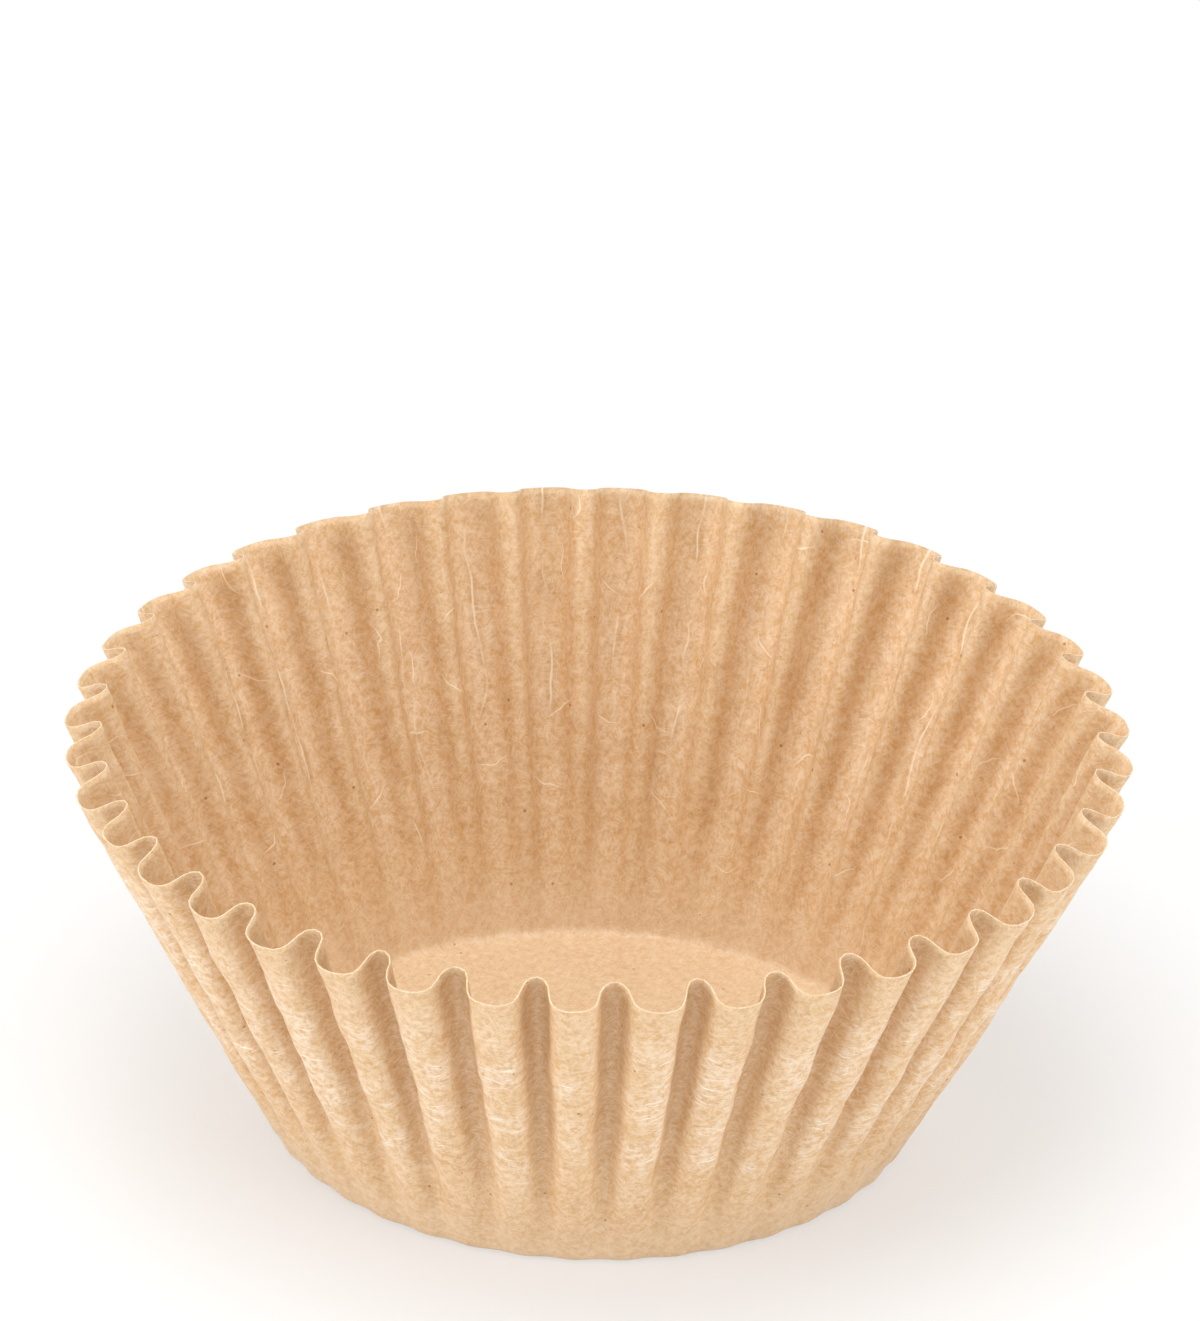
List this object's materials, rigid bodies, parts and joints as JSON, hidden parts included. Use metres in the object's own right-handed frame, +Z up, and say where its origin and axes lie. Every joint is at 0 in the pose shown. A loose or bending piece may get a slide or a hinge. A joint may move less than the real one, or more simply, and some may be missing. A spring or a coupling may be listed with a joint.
{
  "type": "cupcake liner",
  "caption": "Round fluted paper baking cup with a flat base and a flared, pleated wall, open at the top.",
  "frame": {"origin": "centre of the base underside, where the liner rests", "axes": "+Z up the cup's axis to the open rim; -Y through the middle of one outward flute; +X to the right of it"},
  "size_m": [0.082, 0.082, 0.0325],
  "materials": {
    "liner": "unbleached greaseproof kraft paper, matte with a faint calendered sheen"
  },
  "bodies": {
    "root": {"liner": "liner"}
  },
  "joints": []
}
